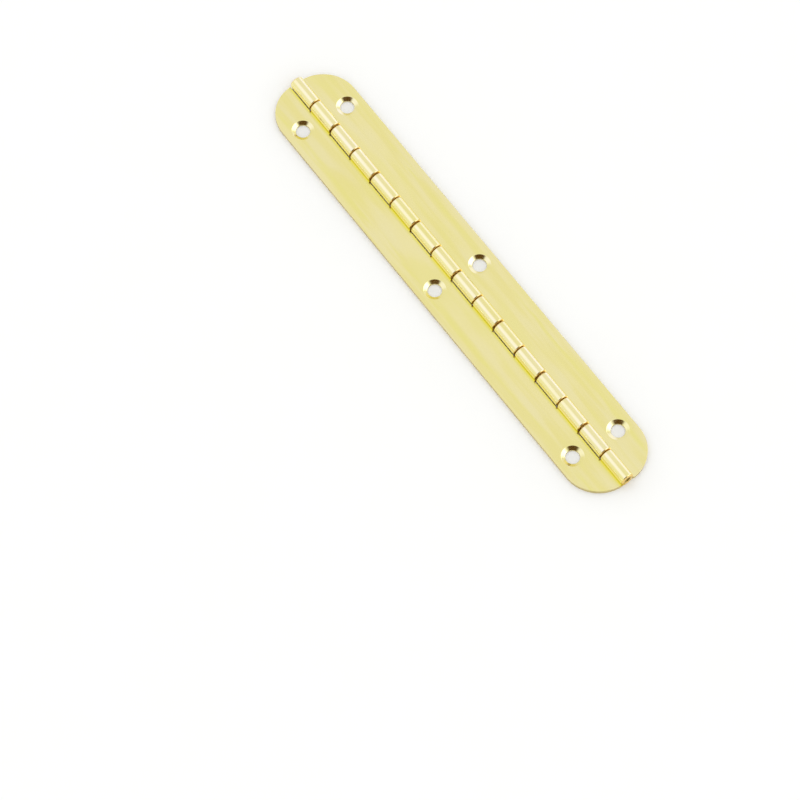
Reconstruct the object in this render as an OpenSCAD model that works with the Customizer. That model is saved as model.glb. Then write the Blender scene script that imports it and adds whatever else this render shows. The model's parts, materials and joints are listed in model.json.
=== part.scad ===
// Piano hinge: two round-ended leaves of rolled sheet, on one wire pin, laid flat open.
// The origin is on the pin's axis, halfway along the hinge. +X runs along the pin,
// +Y points across the right leaf, and +Z points out of the countersunk side.

/* [Leaves] */
// Length of the hinge along the pin
hinge_len = 136; // [120:1:180]
// Width of one leaf, from the pin's axis to its outer edge
leaf_w = 11; // [10.5:0.5:16]
// Thickness of the sheet that both leaves are stamped from
sheet_t = 0.9; // [0.6:0.05:1.2]
// Radius of a leaf's two outer corners
corner_r = 9.5; // [3:0.25:9.75]

/* [Barrel] */
// Knuckles on both leaves together, an even number
knuckle_count = 16; // [10:2:20]
// Gap between two neighbouring knuckles, with the leaves centred
knuckle_gap = 0.3; // [0.2:0.05:0.6]
// How far each leaf has drifted along the pin, within those gaps
leaf_drift = 0.05; // [0:0.01:0.08]
// How far a notch is cut past the side of the barrel that turns in it
notch_clear = 0.03; // [0.01:0.01:0.6]
// Gap between the rolled sheet's end and the leaf it comes back to
seam_gap = 0.04; // [0.02:0.01:0.2]

/* [Pin] */
// Diameter of the pin's wire
pin_d = 1.7; // [1.2:0.05:2.2]
// Radial clearance between the pin and the knuckles
pin_play = 0.03; // [0.01:0.01:0.08]
// How far each end of the pin sits inside the barrel
pin_recess = 0.4; // [0.1:0.1:1]

/* [Screw holes] */
// Screw holes in each leaf
hole_count = 3; // [2:1:5]
// Diameter of a screw hole
hole_d = 3.6; // [2.8:0.1:4]
// Diameter of a countersink at the leaf's face
sink_d = 5.6; // [4.8:0.1:6.4]
// Straight wall left below each countersink
hole_land = 0.35; // [0.1:0.05:0.4]
// Distance from the pin's axis to the row of holes
hole_row_y = 6.5; // [6.2:0.05:7]
// Distance from the hinge's end to the first hole of a centred row
hole_inset = 12.5; // [12:0.5:20]
// How far each leaf's row sits off centre, towards its own +X or -X end
hole_row_shift = 0.44; // [0:0.02:0.6]

/* [Hidden] */
$fn = 96;

leaf_colour = [0.92, 0.87, 0.61];
pin_colour = [0.80, 0.72, 0.45];

bore_r = pin_d / 2 + pin_play;
barrel_r = bore_r + sheet_t;
knuckle_pitch = hinge_len / knuckle_count;
notch_count = knuckle_count / 2;
// A notch is cut this far across the leaf
notch_edge_y = barrel_r + notch_clear;
// The rolled sheet stops at this angle below +Y
seam_angle = asin((bore_r - seam_gap) / barrel_r);
// The rolled strip's flat root ends where the corners' arcs begin, or at the notches,
// and the flat plate starts halfway along that root
root_w = min(leaf_w - corner_r, notch_edge_y);
plate_start_y = root_w / 2;
hole_spacing = (hinge_len - 2 * hole_inset) / (hole_count - 1);
hole_start_x = hole_inset - hinge_len / 2 + hole_row_shift;
sink_slope = (sink_d - hole_d) / 2 / (sheet_t - hole_land);
// Cutters run this far past the surfaces they cut, and a countersink's flaring cone, which
// must stay clear of the barrel, runs this far past the leaf's face
past = 1;
sink_past = 0.05;

// Section across the barrel, seen along the pin: the sheet's root, rolled over -Y and back
module rolled_section() {
  opening_reach = 2 * barrel_r;
  difference() {
    circle(r = barrel_r);
    circle(r = bore_r);
    polygon([
      [0, 0],
      [0, -opening_reach],
      [opening_reach * cos(seam_angle), -opening_reach * sin(seam_angle)]
    ]);
  }
  translate([0, -barrel_r]) square([root_w, sheet_t]);
}

// The rolled strip before it is notched, as long as the hinge
module rolled_strip() {
  translate([-hinge_len / 2, 0, 0])
    rotate([90, 0, 90])
      linear_extrude(hinge_len) rolled_section();
}

// Outline of the flat plate, from inside the rolled strip to the rounded outer corners
module plate_outline() {
  corner_x = hinge_len / 2 - corner_r;
  corner_y = leaf_w - corner_r;
  intersection() {
    union() {
      for (side = [-1, 1]) translate([side * corner_x, corner_y]) circle(r = corner_r);
      translate([-corner_x, 0]) square([2 * corner_x, leaf_w]);
      translate([-hinge_len / 2, 0]) square([hinge_len, corner_y]);
    }
    translate([-hinge_len, plate_start_y]) square([2 * hinge_len, leaf_w]);
  }
}

module plate() {
  translate([0, 0, -barrel_r]) linear_extrude(sheet_t) plate_outline();
}

// Cutters for the notches that the other leaf's knuckles turn in
module notches() {
  for (i = [0 : notch_count - 1])
    translate([
      -hinge_len / 2 + (2 * i + 1) * knuckle_pitch - knuckle_gap / 2 + leaf_drift,
      -barrel_r - past,
      -barrel_r - past
    ])
      cube([
        knuckle_pitch + knuckle_gap,
        notch_edge_y + barrel_r + past,
        2 * (barrel_r + past)
      ]);
}

// Cutter for one countersunk screw hole, standing on the leaf's back face
module screw_hole() {
  translate([0, 0, -past]) cylinder(h = sheet_t + 2 * past, d = hole_d);
  translate([0, 0, hole_land])
    cylinder(
      h = sheet_t - hole_land + sink_past,
      r1 = hole_d / 2,
      r2 = sink_d / 2 + sink_past * sink_slope
    );
}

// One leaf as it lies on the +Y side; the other is the same piece, turned half round
module leaf() {
  difference() {
    union() {
      rolled_strip();
      plate();
    }
    notches();
    for (i = [0 : hole_count - 1])
      translate([hole_start_x + i * hole_spacing, hole_row_y, -barrel_r]) screw_hole();
  }
}

module right_leaf() {
  color(leaf_colour) leaf();
}

module left_leaf() {
  color(leaf_colour) rotate([0, 0, 180]) leaf();
}

module hinge_pin() {
  color(pin_colour)
    translate([-hinge_len / 2 + pin_recess, 0, 0])
      rotate([0, 90, 0]) cylinder(h = hinge_len - 2 * pin_recess, d = pin_d);
}

left_leaf();
right_leaf();
hinge_pin();
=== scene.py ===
import json
import math

import bpy
from mathutils import Matrix, Vector
from mathutils.geometry import delaunay_2d_cdt


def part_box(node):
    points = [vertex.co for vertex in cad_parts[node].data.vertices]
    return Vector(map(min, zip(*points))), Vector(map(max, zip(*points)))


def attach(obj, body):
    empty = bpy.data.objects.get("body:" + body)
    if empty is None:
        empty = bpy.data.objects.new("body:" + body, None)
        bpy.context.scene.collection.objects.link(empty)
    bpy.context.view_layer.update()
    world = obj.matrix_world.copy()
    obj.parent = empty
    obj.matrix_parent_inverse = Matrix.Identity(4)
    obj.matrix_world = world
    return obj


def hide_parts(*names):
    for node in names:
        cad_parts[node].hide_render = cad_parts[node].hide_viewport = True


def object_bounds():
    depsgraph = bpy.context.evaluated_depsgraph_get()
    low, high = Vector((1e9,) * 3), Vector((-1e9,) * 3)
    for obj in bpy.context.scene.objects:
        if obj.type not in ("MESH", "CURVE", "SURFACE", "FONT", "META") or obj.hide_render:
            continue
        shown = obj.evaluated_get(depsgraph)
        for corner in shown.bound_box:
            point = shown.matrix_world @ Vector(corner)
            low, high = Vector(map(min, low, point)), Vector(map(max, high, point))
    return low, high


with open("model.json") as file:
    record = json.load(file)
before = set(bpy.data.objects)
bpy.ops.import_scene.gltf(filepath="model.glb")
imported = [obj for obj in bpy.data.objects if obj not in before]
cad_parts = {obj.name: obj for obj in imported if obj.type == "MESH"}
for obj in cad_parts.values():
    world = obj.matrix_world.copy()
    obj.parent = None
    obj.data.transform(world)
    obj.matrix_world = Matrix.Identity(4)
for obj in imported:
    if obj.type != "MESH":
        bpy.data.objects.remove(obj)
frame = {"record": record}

MM = 0.001
cad_low, cad_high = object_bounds()

# ---- Sizes -------------------------------------------------------------------------------
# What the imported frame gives: boxes of the nodes, and the screw rows stated as mounts.
_, LEAF_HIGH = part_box("right_leaf")
PIN_LOW, PIN_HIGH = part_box("hinge_pin")
MOUNTS = {mount["name"]: mount for mount in frame["record"]["mounts"]}
SCREW_ROW = MOUNTS["right_leaf_end_screws"]
SCREW_HOLE = MOUNTS["right_leaf_middle_screw"]

HALF_LENGTH = cad_high.x
LEAF_WIDTH = LEAF_HIGH.y
BARREL_RADIUS = LEAF_HIGH.z
PIN_RADIUS = PIN_HIGH.z
PIN_PLAY = 0.03 * MM
BORE_RADIUS = PIN_RADIUS + PIN_PLAY
SHEET = BARREL_RADIUS - BORE_RADIUS
HOLE_RADIUS = SCREW_HOLE["dims"]["r_mm"] * MM
HOLE_LAND = SCREW_HOLE["dims"]["length_mm"] * MM
HOLE_SPACING = SCREW_ROW["dims"]["spacing_x_mm"] * MM / 2
HOLE_CENTRES = [
    (SCREW_ROW["pos_m"][0] + i * HOLE_SPACING, SCREW_ROW["pos_m"][1]) for i in (-1, 0, 1)
]

# What the frame doesn't state.
KNUCKLES = 16
KNUCKLE_GAP = 0.3 * MM
LEAF_DRIFT = 0.05 * MM
NOTCH_CLEAR = 0.03 * MM
SEAM_GAP = 0.04 * MM
CORNER_RADIUS = 9.5 * MM
SINK_RADIUS = 2.8 * MM

# Roundings of the front edge, of the back edge, and of the back edge where it is rolled into a
# knuckle's outer rim. Then the corners of tabs and notches, seen from above, the rim of a
# countersink, the lips of the straight wall under it, and the cut ends of the pin.
FRONT_ROUND = 0.06 * MM
BACK_ROUND = 0.06 * MM
KNUCKLE_ROUND = 0.34 * MM
TAB_CORNER = 0.3 * MM
NOTCH_CORNER = 0.16 * MM
SINK_RIM_ROUND = 0.45 * MM
LIP_ROUND = 0.3 * HOLE_LAND
PIN_END_ROUND = 0.25 * PIN_RADIUS

# How finely curves are cut up.
ROUND_STEPS = 4
CORNER_STEPS = 48
HOLE_STEPS = 96
ROLL_STEPS = 90
PIN_STEPS = 64

# How much painted shade browns a knuckle's end walls and a notch's corners, where deep shade falls
# between the parts.
KNUCKLE_WALL_SHADE = 1.0
NOTCH_CORNER_SHADE = 0.4

PITCH = 2 * HALF_LENGTH / KNUCKLES
NOTCH_EDGE = BARREL_RADIUS + NOTCH_CLEAR
QUARTER = math.pi / 2
SEAM_ANGLE = math.asin((BORE_RADIUS - SEAM_GAP) / BARREL_RADIUS)
ROLL_ANGLE = 3 * QUARTER + SEAM_ANGLE
ROLL_RADIUS = BARREL_RADIUS - SHEET / 2
ROLL_LENGTH = ROLL_ANGLE * ROLL_RADIUS


# ---- The sheet, laid out flat ------------------------------------------------------------
# Blank coordinates: x along the pin, s across the sheet from the pin's axis outwards, and h up
# from the sheet's back face. Where s is below zero the sheet is rolled round the pin, with its
# back face outside.


def on_hinge(x, s, h):
    """The place on the finished right leaf of a point of the blank."""
    if s >= 0:
        return Vector((x, s, h - BARREL_RADIUS))
    turn = -s / ROLL_RADIUS
    radius = BARREL_RADIUS - h
    return Vector((x, -radius * math.sin(turn), -radius * math.cos(turn)))


def turned_normal(s, normal):
    """A normal (x, s, h) of the blank, turned as the sheet is rolled at s."""
    turn = max(0.0, -s / ROLL_RADIUS)
    nx, ns, nh = normal
    return Vector((
        nx,
        ns * math.cos(turn) + nh * math.sin(turn),
        -ns * math.sin(turn) + nh * math.cos(turn),
    ))


def arc(centre, radius, start, end, steps):
    """Points of an arc with their outward directions, both ends included."""
    points = []
    for i in range(steps + 1):
        angle = start + (end - start) * i / steps
        out = Vector((math.cos(angle), math.sin(angle)))
        points.append((Vector(centre) + radius * out, out))
    return points


def knuckle_spans():
    """(start, end) along x of each knuckle of the right leaf."""
    spans = []
    for k in range(0, KNUCKLES, 2):
        start = -HALF_LENGTH + k * PITCH + KNUCKLE_GAP / 2 + LEAF_DRIFT
        end = -HALF_LENGTH + (k + 1) * PITCH - KNUCKLE_GAP / 2 + LEAF_DRIFT
        spans.append((-HALF_LENGTH if k == 0 else start, end))
    return spans


def side_rows():
    """Values of s down a tab's side, from the pin's plane to where the corner's arc begins."""
    last = ROLL_LENGTH - TAB_CORNER
    return [-last * i / ROLL_STEPS for i in range(ROLL_STEPS + 1)]


class Outline:
    """The blank's outline, with material on its left hand.

    Each point has its outward direction, the radius its back edge is rounded to, and how much
    painted shade its wall takes there. Points on a knuckle's tab also have the tab's number and
    their row, so that a tab's two sides pair up.
    """

    def __init__(self):
        self.points = []

    def add(self, points, wall_shade=0.0):
        for point, out in points:
            self.points.append((point, out, BACK_ROUND, wall_shade, None, None))

    def add_tab(self, tab, start, end):
        """Down the near side of a knuckle's tab, round its foot and up the far side."""
        foot = -ROLL_LENGTH + TAB_CORNER
        rows = side_rows()[:-1]
        near = arc((start + TAB_CORNER, foot), TAB_CORNER, 2 * QUARTER, 3 * QUARTER, ROUND_STEPS)
        far = arc((end - TAB_CORNER, foot), TAB_CORNER, 3 * QUARTER, 4 * QUARTER, ROUND_STEPS)
        down = [(Vector((start, s)), Vector((-1, 0))) for s in rows] + near
        up = [(Vector((end, s)), Vector((1, 0))) for s in rows] + far[::-1]
        # The knuckle's rounding comes in over the first quarter of the roll, and goes again
        # round the corners of the tab's foot.
        for side in (list(enumerate(down)), list(enumerate(up))[::-1]):
            for row, (point, out) in side:
                rise = min(1.0, 4 * row / len(rows))
                tuck = max(0.0, row - len(rows)) / ROUND_STEPS
                rounding = BACK_ROUND + (KNUCKLE_ROUND - BACK_ROUND) * rise * (1 - tuck)
                self.points.append((point, out, rounding, KNUCKLE_WALL_SHADE, tab, row))

    def add_notch_corner(self, x, turn_start):
        """One of the two inner corners at the bottom of a notch."""
        side = 1 if turn_start > QUARTER else -1
        centre = (x + side * NOTCH_CORNER, NOTCH_EDGE - NOTCH_CORNER)
        points = arc(centre, NOTCH_CORNER, turn_start, turn_start - QUARTER, ROUND_STEPS)
        self.add([(point, -out) for point, out in points], NOTCH_CORNER_SHADE)


def leaf_outline():
    """The whole outline of the right leaf's blank."""
    outline = Outline()
    corner_x = HALF_LENGTH - CORNER_RADIUS
    corner_s = LEAF_WIDTH - CORNER_RADIUS
    outline.add(arc((-corner_x, corner_s), CORNER_RADIUS, QUARTER, 2 * QUARTER, CORNER_STEPS))
    for tab, (start, end) in enumerate(knuckle_spans()):
        if tab > 0:
            outline.add_notch_corner(start, QUARTER)
        outline.add_tab(tab, start, end)
        outline.add_notch_corner(end, 2 * QUARTER)
    # The last notch runs out through the end of the leaf, where it leaves a small rounded tip.
    rise = NOTCH_EDGE + NOTCH_CORNER - corner_s
    reach = math.sqrt((CORNER_RADIUS - NOTCH_CORNER) ** 2 - rise ** 2)
    meet = math.atan2(rise, reach)
    tip = (corner_x + reach, NOTCH_EDGE + NOTCH_CORNER)
    outline.add(arc(tip, NOTCH_CORNER, 3 * QUARTER, 4 * QUARTER + meet, ROUND_STEPS))
    end_arc = arc((corner_x, corner_s), CORNER_RADIUS, meet, QUARTER, CORNER_STEPS)
    outline.add(end_arc[1:])
    return outline.points


def edge_profile(back_round):
    """Across a sheared edge, from back face to front face.

    Each entry is (inset from the outline, height, normal along the inset, normal up, rim, cut),
    where rim marks the rubbed corners and cut the bare sheared wall.
    """
    profile = []
    corners = ((back_round, back_round, -QUARTER), (FRONT_ROUND, SHEET - FRONT_ROUND, 0.0))
    for radius, base, start in corners:
        for i in range(ROUND_STEPS + 1):
            turn = start + QUARTER * i / ROUND_STEPS
            inset = radius * (1 - math.cos(turn))
            height = base + radius * math.sin(turn)
            rim = math.sin(2 * abs(turn))
            profile.append((inset, height, -math.cos(turn), math.sin(turn), rim, math.cos(turn)))
    return profile


def bend(centre, radius, start, end):
    """Entries of a hole's profile round one bend, from one slope of its wall to the next."""
    entries = []
    for i in range(ROUND_STEPS + 1):
        turn = start + (end - start) * i / ROUND_STEPS
        nd = -math.sin(turn)
        nh = math.cos(turn)
        cut = max(0.0, -nd) ** 4
        entries.append((centre[0] + radius * nd, centre[1] + radius * nh, nd, nh, 0.0, cut))
    return entries


def hole_profile():
    """Across a countersunk hole's wall, in the same form as edge_profile."""
    slope = math.atan2(SHEET - HOLE_LAND, SINK_RADIUS - HOLE_RADIUS)
    lip_tangent = LIP_ROUND * math.tan((QUARTER - slope) / 2)
    rim_tangent = SINK_RIM_ROUND * math.tan(slope / 2)
    rim_centre = (SINK_RADIUS - HOLE_RADIUS + rim_tangent, SHEET - SINK_RIM_ROUND)
    back_lip = bend((LIP_ROUND, LIP_ROUND), LIP_ROUND, 2 * QUARTER, QUARTER)
    cone_foot = bend((LIP_ROUND, HOLE_LAND - lip_tangent), LIP_ROUND, QUARTER, slope)
    return back_lip + cone_foot + bend(rim_centre, SINK_RIM_ROUND, slope, 0.0)


class SheetMesh:
    """The vertices, normals, wear and painted-shade masks and faces of one leaf, in the right
    leaf's place.

    flat holds each vertex's (x, s) on the blank.
    """

    MASKS = ("rim", "cut", "gap", "inner")

    def __init__(self):
        self.points = []
        self.normals = []
        self.masks = {name: [] for name in self.MASKS}
        self.flat = []
        self.faces = []

    def add_row(self, point, out, profile, wall_shade):
        """One section through an edge, as a row of vertices from back to front."""
        row = []
        last = len(profile) - 1
        for k, (inset, height, nd, nh, rim, cut) in enumerate(profile):
            x, s = point - out * inset
            row.append(len(self.points))
            self.points.append(on_hinge(x, s, height))
            self.normals.append(turned_normal(s, (-out.x * nd, -out.y * nd, nh)))
            self.flat.append((x, s))
            is_face = k in (0, last)
            is_inside_roll = s < -0.5 * BORE_RADIUS and k > last / 2
            self.masks["rim"].append(rim)
            self.masks["cut"].append(cut)
            # Painted shade: how much a wall in a gap between the parts is browned.
            self.masks["gap"].append(0.0 if is_face else wall_shade)
            self.masks["inner"].append(1.0 if is_inside_roll else 0.0)
        return row

    def ribbon(self, rows):
        """Joins the rows of a closed edge, each to the next."""
        for j, row in enumerate(rows):
            following = rows[(j + 1) % len(rows)]
            for k in range(len(row) - 1):
                self.faces.append((row[k], following[k], following[k + 1], row[k + 1]))

    def fill(self, loops, is_front):
        """Fills the flat region between vertex loops: the first is the outline, the rest holes."""
        corners = [index for loop in loops for index in loop]
        owners = [number for number, loop in enumerate(loops) for _ in loop]
        edges = []
        offset = 0
        for loop in loops:
            size = len(loop)
            edges += [(offset + i, offset + (i + 1) % size) for i in range(size)]
            offset += size
        flat = [Vector(self.flat[index]) for index in corners]
        _, _, triangles, sources, _, _ = delaunay_2d_cdt(flat, edges, [], 1, 1e-9)
        for triangle in triangles:
            a, b, c = (sources[i][0] for i in triangle)
            # A hole is convex, so a triangle with all its corners on one hole lies inside it.
            if owners[a] == owners[b] == owners[c] > 0:
                continue
            is_left_turn = (flat[b] - flat[a]).cross(flat[c] - flat[a]) > 0
            if is_left_turn != is_front:
                b, c = c, b
            self.faces.append((corners[a], corners[b], corners[c]))

    def fill_tabs(self, sides, k, is_front):
        """Fills the knuckles' tabs between their two sides, from each row to the next."""
        for (tab, level), (near, far) in sides.items():
            if (tab, level + 1) in sides:
                below_near, below_far = sides[tab, level + 1]
                quad = (below_near[k], below_far[k], far[k], near[k])
                self.faces.append(quad if is_front else quad[::-1])


def stamped_sheet():
    """The right leaf's closed surface: edges, countersunk holes, and the two faces."""
    sheet = SheetMesh()
    outline = leaf_outline()
    rows = [
        sheet.add_row(point, out, edge_profile(rounding), wall_shade)
        for point, out, rounding, wall_shade, _, _ in outline
    ]
    sheet.ribbon(rows)
    holes = []
    for centre in HOLE_CENTRES:
        circle = arc(centre, HOLE_RADIUS, 4 * QUARTER, 0.0, HOLE_STEPS)[:-1]
        hole = [sheet.add_row(point, -out, hole_profile(), 0.0) for point, out in circle]
        sheet.ribbon(hole)
        holes.append(hole)
    plate = []
    sides = {}
    for (_, _, _, _, tab, level), row in zip(outline, rows):
        if tab is None or level == 0:
            plate.append(row)
        if tab is not None:
            sides.setdefault((tab, level), []).append(row)
    for k, is_front in ((0, False), (-1, True)):
        sheet.fill([[row[k] for row in loop] for loop in [plate] + holes], is_front)
        sheet.fill_tabs(sides, k, is_front)
    return sheet


def new_piece(name, points, faces):
    """A smooth-shaded mesh object in the scene."""
    mesh = bpy.data.meshes.new(name)
    mesh.from_pydata(points, [], faces)
    mesh.polygons.foreach_set("use_smooth", [True] * len(mesh.polygons))
    piece = bpy.data.objects.new(name, mesh)
    bpy.context.scene.collection.objects.link(piece)
    return piece


def build_leaf(name, angle):
    """One leaf, turned by an angle about Z from the right leaf's place."""
    sheet = stamped_sheet()
    turn = Matrix.Rotation(angle, 3, "Z")
    piece = new_piece(name, [turn @ point for point in sheet.points], sheet.faces)
    mesh = piece.data
    mesh.normals_split_custom_set_from_vertices([turn @ normal for normal in sheet.normals])
    for mask, values in sheet.masks.items():
        mesh.attributes.new(mask, "FLOAT", "POINT").data.foreach_set("value", values)
    return piece


def pin_profile():
    """(x, radius) down the pin, from tip to tip, with the wire's cut ends slightly rounded."""
    profile = [(PIN_LOW.x, 0.0)]
    for x, side in ((PIN_LOW.x + PIN_END_ROUND, -1), (PIN_HIGH.x - PIN_END_ROUND, 1)):
        for i in range(ROUND_STEPS + 1):
            turn = QUARTER * (i if side > 0 else ROUND_STEPS - i) / ROUND_STEPS
            radius = PIN_RADIUS - PIN_END_ROUND * (1 - math.cos(turn))
            profile.append((x + side * PIN_END_ROUND * math.sin(turn), radius))
    profile.append((PIN_HIGH.x, 0.0))
    return profile


def build_pin(name):
    """The wire pin: its profile turned about X, and closed at the two tips."""
    first, *rings, last = pin_profile()
    points = [Vector((first[0], 0, 0))]
    for x, radius in rings:
        for i in range(PIN_STEPS):
            angle = 4 * QUARTER * i / PIN_STEPS
            points.append(Vector((x, radius * math.cos(angle), radius * math.sin(angle))))
    points.append(Vector((last[0], 0, 0)))
    tip = len(points) - 1
    faces = []
    for i in range(PIN_STEPS):
        following = (i + 1) % PIN_STEPS
        faces.append((0, 1 + following, 1 + i))
        for ring in range(len(rings) - 1):
            a = 1 + ring * PIN_STEPS
            b = a + PIN_STEPS
            faces.append((a + i, a + following, b + following, b + i))
        faces.append((tip - PIN_STEPS + i, tip - PIN_STEPS + following, tip))
    return new_piece(name, points, faces)


# ---- Looks -------------------------------------------------------------------------------


class Graph:
    """Short calls for building a node tree. Values may be numbers, vectors or other sockets."""

    def __init__(self, tree):
        self.tree = tree

    def set_inputs(self, node, values):
        """Links the values that are sockets and copies the others."""
        for key, value in values.items():
            if isinstance(value, bpy.types.NodeSocket):
                self.tree.links.new(value, node.inputs[key])
            else:
                node.inputs[key].default_value = value

    def add(self, kind, values=None, **settings):
        node = self.tree.nodes.new("ShaderNode" + kind)
        for name, setting in settings.items():
            setattr(node, name, setting)
        self.set_inputs(node, values or {})
        return node

    def math(self, operation, a, b, clamp=False):
        node = self.add("Math", {0: a, 1: b}, operation=operation, use_clamp=clamp)
        return node.outputs[0]

    def product(self, a, b):
        return self.math("MULTIPLY", a, b)

    def vector_math(self, operation, a, b):
        return self.add("VectorMath", {0: a, 1: b}, operation=operation).outputs

    def place_in_mm(self):
        """Where the shaded point lies in its object, in millimetres."""
        place = self.add("TexCoord").outputs["Object"]
        return self.vector_math("DIVIDE", place, (MM, MM, MM))[0]

    def drawn_out(self, place, squeeze):
        """Squeezes x, so that a noise read there is drawn out along the pin."""
        return self.vector_math("MULTIPLY", place, (squeeze, 1.0, 1.0))[0]

    def ramp(self, value, from_low, from_high, to_low=0.0, to_high=1.0):
        """A smooth step from to_low to to_high as value passes from from_low to from_high."""
        values = {0: value, 1: from_low, 2: from_high, 3: to_low, 4: to_high}
        return self.add("MapRange", values, interpolation_type="SMOOTHSTEP").outputs[0]

    def mix(self, factor, a, b, blend="MIX"):
        # The node has sockets for each type of data. These are its colours.
        values = {0: factor, 6: a, 7: b}
        return self.add("Mix", values, data_type="RGBA", blend_type=blend).outputs[2]

    def noise(self, place, scale, detail, roughness):
        values = {"Vector": place, "Scale": scale, "Detail": detail, "Roughness": roughness}
        return self.add("TexNoise", values).outputs[0]

    def bump(self, height, strength, distance, **under):
        values = {"Height": height, "Strength": strength, "Distance": distance, **under}
        return self.add("Bump", values).outputs[0]


def colour(red, green, blue):
    return (red, green, blue, 1.0)


BRIGHT_BRASS = colour(0.93, 0.84, 0.41)
DEEP_BRASS = colour(0.90, 0.81, 0.335)
PALE_BRASS = colour(0.92, 0.835, 0.45)
OLIVE_BRASS = colour(0.895, 0.82, 0.29)
# Real wear on rubbed rims, and partly painted shade where it darkens the inside of the roll.
WORN_AND_SHADED_BRASS = colour(0.78, 0.66, 0.30)
SHEARED_BRASS = colour(0.66, 0.54, 0.22)
# Painted shade: the brown put on the knuckles' end walls and the notches' corners.
GAP_SHADE_BRASS = colour(1.0, 0.66, 0.13)
# Painted light and shade: a yellower band for light bounced between barrel and leaf, and a warmer
# tint for the shade in the slit below it.
CREASE_BOUNCE_TINT = colour(0.93, 0.955, 0.42)
SLIT_SHADE_TINT = colour(1.04, 0.90, 0.36)
COAT = 0.25


def new_material(name):
    material = bpy.data.materials.new(name)
    material.use_nodes = True
    graph = Graph(material.node_tree)
    return material, graph, material.node_tree.nodes["Principled BSDF"]


def painted_crease_light(graph, place):
    """Where a painted tint lies at the barrel's foot, on the -Y side only: a yellower band above
    the leaf's face for light bounced between barrel and leaf, and a warmer tint in the slit below
    it for painted warm shade.

    place is in mm. The second output is 1 above the leaf's face and 0 in the slit below it.
    """
    across = graph.add("SeparateXYZ", {0: place}).outputs
    face = (SHEET - BARREL_RADIUS) / MM
    beside = graph.product(
        graph.ramp(across["Y"], -2.9, -1.8),
        graph.ramp(across["Y"], -1.0, -0.5, 1.0, 0.0),
    )
    upright = graph.product(
        graph.ramp(across["Z"], face - 0.8, face - 0.6),
        graph.ramp(across["Z"], face + 0.3, face + 0.6, 1.0, 0.0),
    )
    above_face = graph.ramp(across["Z"], face - 0.2, face - 0.05)
    return graph.product(beside, upright), above_face


def drained_lacquer(graph, place):
    """How thickly the lacquer has drained into a broken line along each outer edge."""
    across = graph.math("ABSOLUTE", graph.add("SeparateXYZ", {0: place}).outputs["Y"], 0.0)
    width = LEAF_WIDTH / MM
    line = graph.product(
        graph.ramp(across, width - 3.8, width - 2.4),
        graph.ramp(across, width - 2.2, width - 1.0, 1.0, 0.0),
    )
    breaks = graph.noise(graph.drawn_out(place, 0.12), 0.5, 2.0, 0.5)
    return graph.product(line, graph.ramp(breaks, 0.4, 0.6))


def plating_tint(graph, place, streaks, clouds):
    """Colour of the lacquered plating on the sheet's faces."""
    washes = graph.noise(graph.drawn_out(place, 0.16), 0.36, 1.0, 0.4)
    tint = graph.mix(graph.ramp(streaks, 0.42, 0.6), BRIGHT_BRASS, DEEP_BRASS)
    tint = graph.mix(graph.ramp(clouds, 0.3, 0.75, 0.0, 0.35), tint, DEEP_BRASS)
    tint = graph.mix(graph.ramp(washes, 0.48, 0.72, 0.0, 0.75), tint, PALE_BRASS)
    tint = graph.mix(graph.ramp(washes, 0.3, 0.52, 0.5, 0.0), tint, OLIVE_BRASS)
    return graph.mix(graph.product(drained_lacquer(graph, place), 0.9), tint, OLIVE_BRASS)


def worn_and_shaded_tint(graph, place, tint, masks):
    """The plating's tint where the sheet is rubbed or sheared, with painted shade browning the
    walls in the gaps and darkening the inside of the roll.
    """
    scuffs = graph.ramp(graph.noise(place, 1.6, 3.0, 0.65), 0.45, 0.7)
    tint = graph.mix(graph.product(masks["rim"], graph.product(scuffs, 0.6)), tint, WORN_AND_SHADED_BRASS)
    tint = graph.mix(graph.product(masks["cut"], 0.85), tint, SHEARED_BRASS)
    # Painted shade: the sheared end walls of the knuckles and the notch corners are browned where
    # deep shade falls between the parts.
    gap_shade_share = graph.product(masks["gap"], graph.product(masks["cut"], 0.8))
    tint = graph.mix(gap_shade_share, tint, GAP_SHADE_BRASS)
    # Partly painted shade: the inside of the roll is darkened as if in shade, and is also the
    # duller metal of an unpolished hollow.
    return graph.mix(graph.product(masks["inner"], 0.7), tint, WORN_AND_SHADED_BRASS)


def sheet_roughness(graph, clouds, hairlines, masks):
    """Polished faces with hairlines, and duller cuts and insides."""
    roughness = graph.ramp(clouds, 0.3, 0.75, 0.11, 0.15)
    for mark, share in ((hairlines, 0.05), (masks["inner"], 0.25), (masks["cut"], 0.2)):
        roughness = graph.math("ADD", roughness, graph.product(mark, share), clamp=True)
    return roughness


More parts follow.
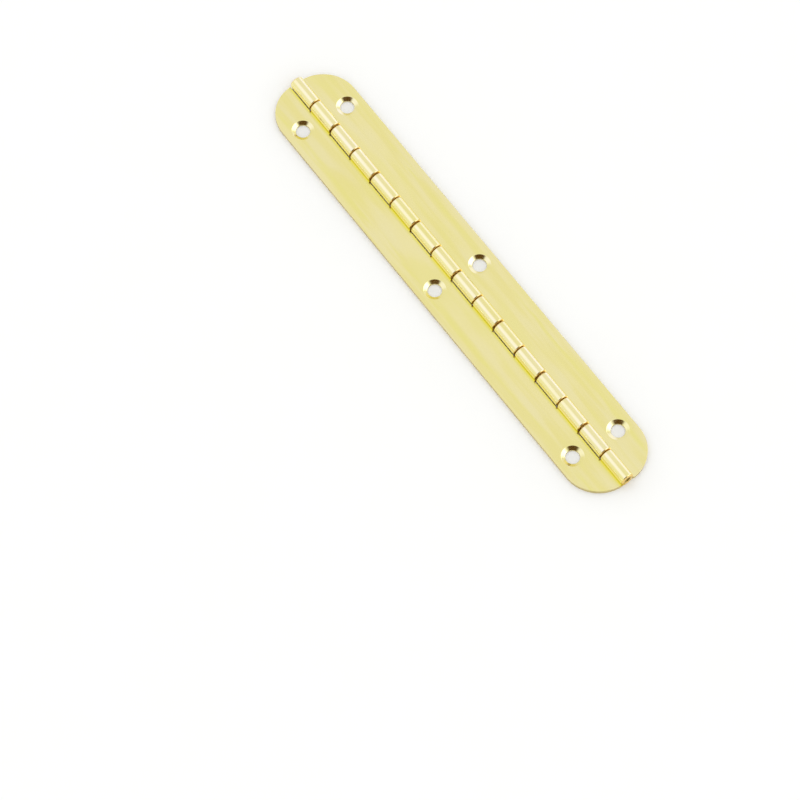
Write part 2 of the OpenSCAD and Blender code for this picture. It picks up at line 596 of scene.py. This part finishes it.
def plated_sheet():
    """Bright brass plating under lacquer, streaked along the rolling direction of the sheet."""
    material, graph, shader = new_material("brass_plated_sheet")
    place = graph.place_in_mm()
    streaks = graph.noise(graph.drawn_out(place, 0.05), 0.45, 2.0, 0.55)
    clouds = graph.noise(place, 0.10, 2.0, 0.5)
    hairlines = graph.noise(graph.drawn_out(place, 0.03), 9.0, 3.0, 0.6)
    masks = {
        name: graph.add("Attribute", attribute_name=name).outputs["Fac"]
        for name in SheetMesh.MASKS
    }
    tint = worn_and_shaded_tint(graph, place, plating_tint(graph, place, streaks, clouds), masks)
    # Painted light: beside the barrel the colour is made yellower above the leaf's face and warmer
    # in the slit below it, and the coat is thinned there.
    crease, above_face = painted_crease_light(graph, place)
    crease_tint = graph.mix(above_face, SLIT_SHADE_TINT, CREASE_BOUNCE_TINT)
    waves = graph.bump(streaks, 0.5, 0.004 * MM)
    graph.set_inputs(shader, {
        "Base Color": graph.mix(crease, tint, crease_tint, "MULTIPLY"),
        "Roughness": sheet_roughness(graph, clouds, hairlines, masks),
        "Normal": graph.bump(hairlines, 0.25, 0.0006 * MM, Normal=waves),
        "Metallic": 1.0,
        "Coat Weight": graph.math("SUBTRACT", COAT, graph.product(crease, COAT)),
        "Coat Roughness": 0.06,
    })
    return material


def drawn_wire():
    """Duller, darker plated wire, mottled between two browns, with drawing marks along it."""
    material, graph, shader = new_material("brass_plated_wire")
    place = graph.place_in_mm()
    marks = graph.noise(graph.drawn_out(place, 0.02), 4.5, 3.0, 0.6)
    brown_mottle = graph.ramp(graph.noise(place, 0.9, 3.0, 0.6), 0.35, 0.7)
    graph.set_inputs(shader, {
        "Base Color": graph.mix(brown_mottle, colour(0.55, 0.42, 0.17), colour(0.34, 0.23, 0.08)),
        "Roughness": graph.ramp(marks, 0.3, 0.7, 0.28, 0.42),
        "Normal": graph.bump(marks, 0.4, 0.004 * MM),
        "Metallic": 1.0,
    })
    return material


def pale_floor():
    """Matt white card, very slightly mottled."""
    material, graph, shader = new_material("white_card")
    mottle = graph.noise(graph.place_in_mm(), 0.04, 3.0, 0.5)
    graph.set_inputs(shader, {
        "Base Color": graph.mix(mottle, colour(0.93, 0.93, 0.93), colour(0.95, 0.95, 0.95)),
        "Roughness": 0.9,
        "Specular IOR Level": 0.1,
    })
    return material


# ---- Camera ------------------------------------------------------------------------------
# The hinge lies towards one side of a wide picture, so the lens points past it. The aim is given
# from the hinge's centre, as shares of its length.

LENS = 157.3
SENSOR_WIDTH = 36
VIEW_AZIMUTH = math.radians(53.88)
VIEW_ELEVATION = math.radians(64.24)
VIEW_DISTANCE = 0.8392
AIM_ALONG = 0.1405
AIM_ACROSS = -0.2299


def direction(azimuth, elevation):
    """Unit vector at an azimuth round from -Y towards +X and an elevation, both in radians."""
    flat = math.cos(elevation)
    return Vector((
        math.sin(azimuth) * flat,
        -math.cos(azimuth) * flat,
        math.sin(elevation),
    ))


def add_camera():
    centre = (cad_low + cad_high) / 2
    length = cad_high.x - cad_low.x
    aim = centre + Vector((AIM_ALONG * length, AIM_ACROSS * length, 0))
    back = direction(VIEW_AZIMUTH, VIEW_ELEVATION)
    data = bpy.data.cameras.new("photo_camera")
    data.lens = LENS
    data.sensor_width = SENSOR_WIDTH
    data.clip_start = 0.01
    camera = bpy.data.objects.new("photo_camera", data)
    camera.location = aim + back * VIEW_DISTANCE
    camera.rotation_mode = "QUATERNION"
    camera.rotation_quaternion = (-back).to_track_quat("-Z", "Y")
    bpy.context.scene.collection.objects.link(camera)
    bpy.context.scene.camera = camera


# ---- Light and floor ---------------------------------------------------------------------
# Each lobe of the surroundings: turn round from the camera, elevation, radius of its even
# middle and radius where it has faded out, all in degrees, and its radiance. The lobes brighter
# than the even surroundings are soft boxes. The two dark ones, one above the other, are the
# camera's own corner of the studio.
LOBES = (
    (-97, 53, 3, 33, (1.10, 1.13, 1.70)),
    (-76, 18, 4, 20, (0.96, 0.97, 0.93)),
    (105, 46, 14, 30, (1.80, 1.90, 2.70)),
    (150, 9, 4, 26, (1.12, 1.14, 1.75)),
    (0, 58, 22, 36, (0.11, 0.058, 0.020)),
    (0, 42, 16, 30, (0.11, 0.058, 0.020)),
)
SURROUNDINGS = (0.90, 0.90, 0.90)
# Light that the card receives, from high up and from low down all round, and the heights on the
# unit sphere between which one gives way to the other. The low light leaves the card white round
# the hinge and grey down in the screw holes.
CARD_LIGHT_HIGH = (0.95, 0.95, 0.93)
CARD_LIGHT_LOW = (3.5, 3.5, 3.4)
LOW_RISE = 0.1
HIGH_RISE = 0.35
FLOOR_REACH = 40 * HALF_LENGTH
FLOOR_CORNERS = ((-1, -1), (1, -1), (1, 1), (-1, 1))


def mirrored_radiance(graph, towards):
    """What the plating mirrors: even surroundings with soft-edged round lobes."""
    radiance = graph.add("RGB").outputs[0]
    radiance.default_value = colour(*SURROUNDINGS)
    for turn, elevation, middle, reach, lobe in LOBES:
        centre = direction(VIEW_AZIMUTH + math.radians(turn), math.radians(elevation))
        near = graph.vector_math("DOT_PRODUCT", towards, centre)["Value"]
        share = graph.ramp(near, math.cos(math.radians(reach)), math.cos(math.radians(middle)))
        radiance = graph.mix(share, radiance, colour(*lobe))
    return radiance


def add_surroundings():
    """A white studio. It looks different to the plating, to the card and to the camera."""
    world = bpy.data.worlds.new("studio")
    world.use_nodes = True
    bpy.context.scene.world = world
    graph = Graph(world.node_tree)
    towards = graph.add("TexCoord").outputs["Generated"]
    rays = graph.add("LightPath").outputs
    rise = graph.add("SeparateXYZ", {0: towards}).outputs["Z"]
    share = graph.ramp(rise, LOW_RISE, HIGH_RISE, 1.0, 0.0)
    on_card = graph.mix(share, colour(*CARD_LIGHT_HIGH), colour(*CARD_LIGHT_LOW))
    radiance = graph.mix(rays["Is Diffuse Ray"], mirrored_radiance(graph, towards), on_card)
    radiance = graph.mix(rays["Is Camera Ray"], radiance, colour(1.0, 1.0, 1.0))
    graph.set_inputs(world.node_tree.nodes["Background"], {"Color": radiance})
    # Sampled as a lamp, the world would light the card with what the plating mirrors.
    world.cycles.sampling_method = "NONE"


def add_floor():
    """A large card under the hinge. It sinks when the moving leaf swings below the other."""
    corners = [(x * FLOOR_REACH, y * FLOOR_REACH, 0) for x, y in FLOOR_CORNERS]
    mesh = bpy.data.meshes.new("floor")
    mesh.from_pydata(corners, [], [(0, 1, 2, 3)])
    mesh.materials.append(pale_floor())
    floor = bpy.data.objects.new("floor", mesh)
    floor.location.z = cad_low.z
    bpy.context.scene.collection.objects.link(floor)
    tip = bpy.data.objects.new("leaf_tip", None)
    tip.location = (0, cad_high.y, cad_low.z)
    bpy.context.scene.collection.objects.link(tip)
    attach(tip, "moving_leaf")
    follow = floor.constraints.new("COPY_LOCATION")
    follow.target = tip
    follow.use_x = False
    follow.use_y = False
    stop = floor.constraints.new("LIMIT_LOCATION")
    stop.use_max_z = True
    stop.max_z = cad_low.z


# ---- Assembly ----------------------------------------------------------------------------

sheet_look = plated_sheet()
wire_look = drawn_wire()
for piece, node, body, slot, look in (
    (build_leaf("right_leaf_sheet", 0.0), "right_leaf", "moving_leaf", "leaf", sheet_look),
    (build_leaf("left_leaf_sheet", math.pi), "left_leaf", "fixed_leaf", "leaf", sheet_look),
    (build_pin("pin_wire"), "hinge_pin", "fixed_leaf", "pin", wire_look),
):
    piece.data.materials.append(look)
    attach(piece, body)
    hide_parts(node)

add_camera()
add_surroundings()
add_floor()
bpy.context.scene.view_settings.view_transform = "Standard"
